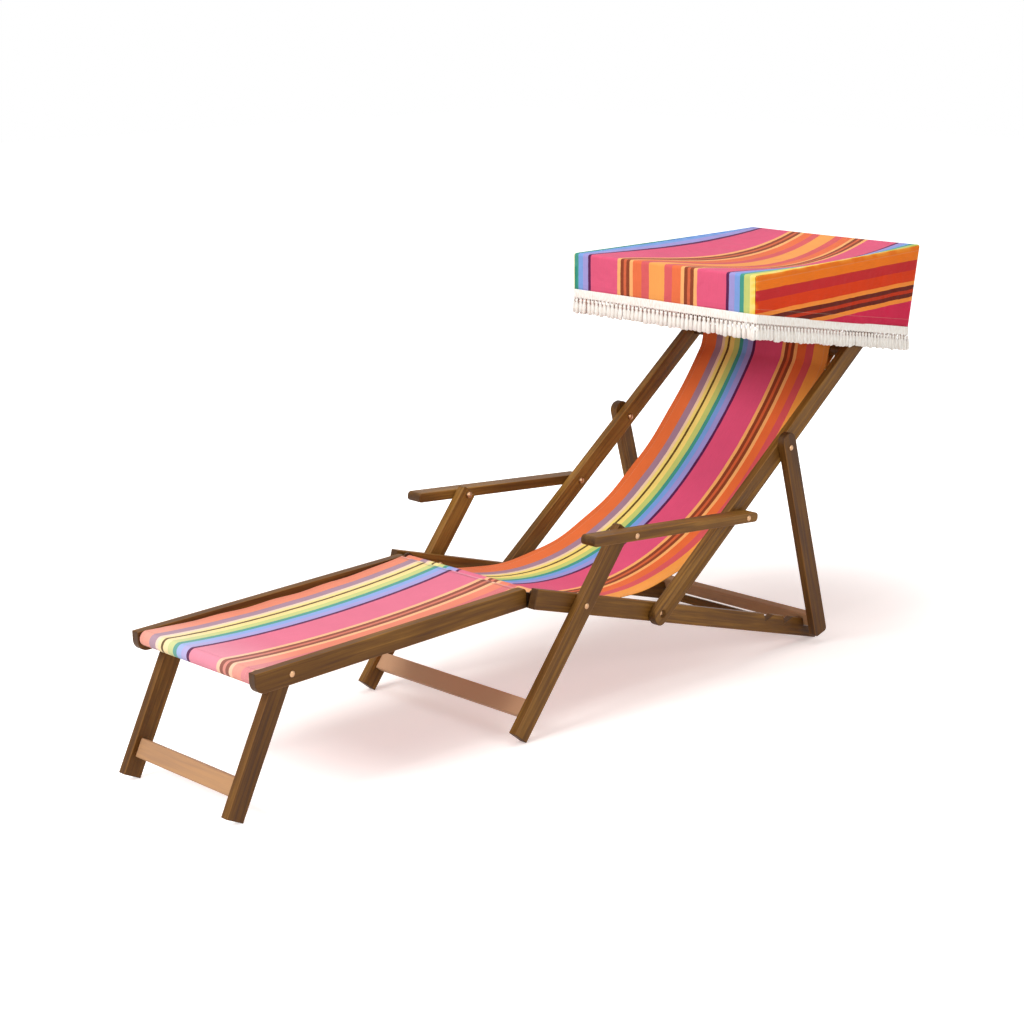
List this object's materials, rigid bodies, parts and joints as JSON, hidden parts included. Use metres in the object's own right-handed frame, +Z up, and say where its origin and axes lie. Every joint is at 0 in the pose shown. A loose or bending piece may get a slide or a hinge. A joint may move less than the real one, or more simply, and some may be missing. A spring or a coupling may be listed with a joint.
{
  "type": "folding deck chair",
  "caption": "folding hardwood deck chair with a striped cloth sling, flat wooden armrests, a hook-on footrest and a fringed sun canopy that tilts on the back",
  "frame": {"origin": "on the floor, under the middle of the whole chair's bounding box", "axes": "+X is the sitter's left, +Y points from the footrest to the rear, +Z is up; the chair is alike on both sides of X = 0"},
  "size_m": [0.5966, 2.096, 0.9373],
  "materials": {
    "oiled_hardwood": "planed hardwood boards with eased edges, brown oil finish, fine straight grain",
    "striped_cotton": "plain-weave cotton canvas, woven lengthwise stripes in pink, orange, yellow, green, blue and lilac",
    "fringe_cotton": "undyed cotton braid with hanging tassels",
    "bolt_steel": "bright plated steel, domed heads and cap nuts",
    "hook_steel": "dark lacquered flat steel"
  },
  "bodies": {
    "seat_frame": {"seat_rail_left": "oiled_hardwood", "seat_rail_right": "oiled_hardwood", "seat_front_bar": "oiled_hardwood", "seat_rear_bar": "oiled_hardwood", "sling": "striped_cotton", "leg_pivot_bolt_left": "bolt_steel", "leg_pivot_bolt_right": "bolt_steel", "leg_pivot_nut_left": "bolt_steel", "leg_pivot_nut_right": "bolt_steel", "back_pivot_bolt_left": "bolt_steel", "back_pivot_bolt_right": "bolt_steel", "back_pivot_nut_left": "bolt_steel", "back_pivot_nut_right": "bolt_steel"},
    "back_frame": {"back_rail_left": "oiled_hardwood", "back_rail_right": "oiled_hardwood", "back_top_bar": "oiled_hardwood", "arm_rear_bolt_left": "bolt_steel", "arm_rear_bolt_right": "bolt_steel", "arm_rear_nut_left": "bolt_steel", "arm_rear_nut_right": "bolt_steel", "prop_pivot_bolt_left": "bolt_steel", "prop_pivot_bolt_right": "bolt_steel", "prop_pivot_nut_left": "bolt_steel", "prop_pivot_nut_right": "bolt_steel", "canopy_pivot_bolt_left": "bolt_steel", "canopy_pivot_bolt_right": "bolt_steel", "canopy_pivot_nut_left": "bolt_steel", "canopy_pivot_nut_right": "bolt_steel"},
    "leg_frame": {"leg_left": "oiled_hardwood", "leg_right": "oiled_hardwood", "leg_cross_bar": "oiled_hardwood", "arm_front_bolt_left": "bolt_steel", "arm_front_bolt_right": "bolt_steel", "arm_front_nut_left": "bolt_steel", "arm_front_nut_right": "bolt_steel"},
    "armrest_left": {"armrest_left": "oiled_hardwood"},
    "armrest_right": {"armrest_right": "oiled_hardwood"},
    "prop_frame": {"prop_left": "oiled_hardwood", "prop_right": "oiled_hardwood", "prop_cross_bar": "oiled_hardwood"},
    "footrest": {"footrest_rail_left": "oiled_hardwood", "footrest_rail_right": "oiled_hardwood", "footrest_front_bar": "oiled_hardwood", "footrest_rear_bar": "oiled_hardwood", "footrest_sling": "striped_cotton", "footrest_hook_left": "hook_steel", "footrest_hook_right": "hook_steel", "footrest_leg_rivet_left": "bolt_steel", "footrest_leg_rivet_right": "bolt_steel"},
    "footrest_leg_frame": {"footrest_leg_left": "oiled_hardwood", "footrest_leg_right": "oiled_hardwood", "footrest_leg_cross_bar": "oiled_hardwood"},
    "canopy": {"canopy_upright_left": "oiled_hardwood", "canopy_upright_right": "oiled_hardwood", "canopy_side_rail_left": "oiled_hardwood", "canopy_side_rail_right": "oiled_hardwood", "canopy_front_bar": "oiled_hardwood", "canopy_rear_bar": "oiled_hardwood", "canopy_cover": "striped_cotton", "canopy_fringe": "fringe_cotton"}
  },
  "joints": [
    {"name": "back_recline", "type": "hinge", "parent": "seat_frame", "child": "back_frame", "pos_m": [0, 0.12511, 0.19283], "axis": [-1, 0, 0], "range_deg": [0, 36], "deforming": ["sling"]},
    {"name": "leg_fold", "type": "hinge", "parent": "seat_frame", "child": "leg_frame", "pos_m": [0, -0.12571, 0.26499], "axis": [-1, 0, 0], "range_deg": [0, 47.6]},
    {"name": "armrest_left_swing", "type": "hinge", "parent": "leg_frame", "child": "armrest_left", "pos_m": [0.2751, -0.01192, 0.40754], "axis": [-1, 0, 0], "range_deg": [-40.1, 0]},
    {"name": "armrest_right_swing", "type": "hinge", "parent": "leg_frame", "child": "armrest_right", "pos_m": [-0.2751, -0.01192, 0.40754], "axis": [-1, 0, 0], "range_deg": [-40.1, 0]},
    {"name": "prop_swing", "type": "hinge", "parent": "back_frame", "child": "prop_frame", "pos_m": [0, 0.54436, 0.51049], "axis": [-1, 0, 0], "range_deg": [-90, 0]},
    {"name": "canopy_tilt", "type": "hinge", "parent": "back_frame", "child": "canopy", "pos_m": [0, 0.84645, 0.73937], "axis": [1, 0, 0], "range_deg": [-4, 25]},
    {"name": "footrest_lift", "type": "hinge", "parent": "seat_frame", "child": "footrest", "pos_m": [0, -0.23335, 0.29596], "axis": [-1, 0, 0], "range_deg": [0, 30]},
    {"name": "footrest_leg_fold", "type": "hinge", "parent": "footrest", "child": "footrest_leg_frame", "pos_m": [0, -0.89513, 0.28263], "axis": [1, 0, 0], "range_deg": [0, 110], "deforming": ["footrest_sling"]}
  ],
  "couplings": [
    {"joint": "leg_fold", "follows": "back_recline", "ratio": 1.3203},
    {"joint": "armrest_left_swing", "follows": "back_recline", "ratio": -1.1127},
    {"joint": "armrest_right_swing", "follows": "back_recline", "ratio": -1.1127},
    {"joint": "prop_swing", "follows": "back_recline", "ratio": -2.5}
  ]
}
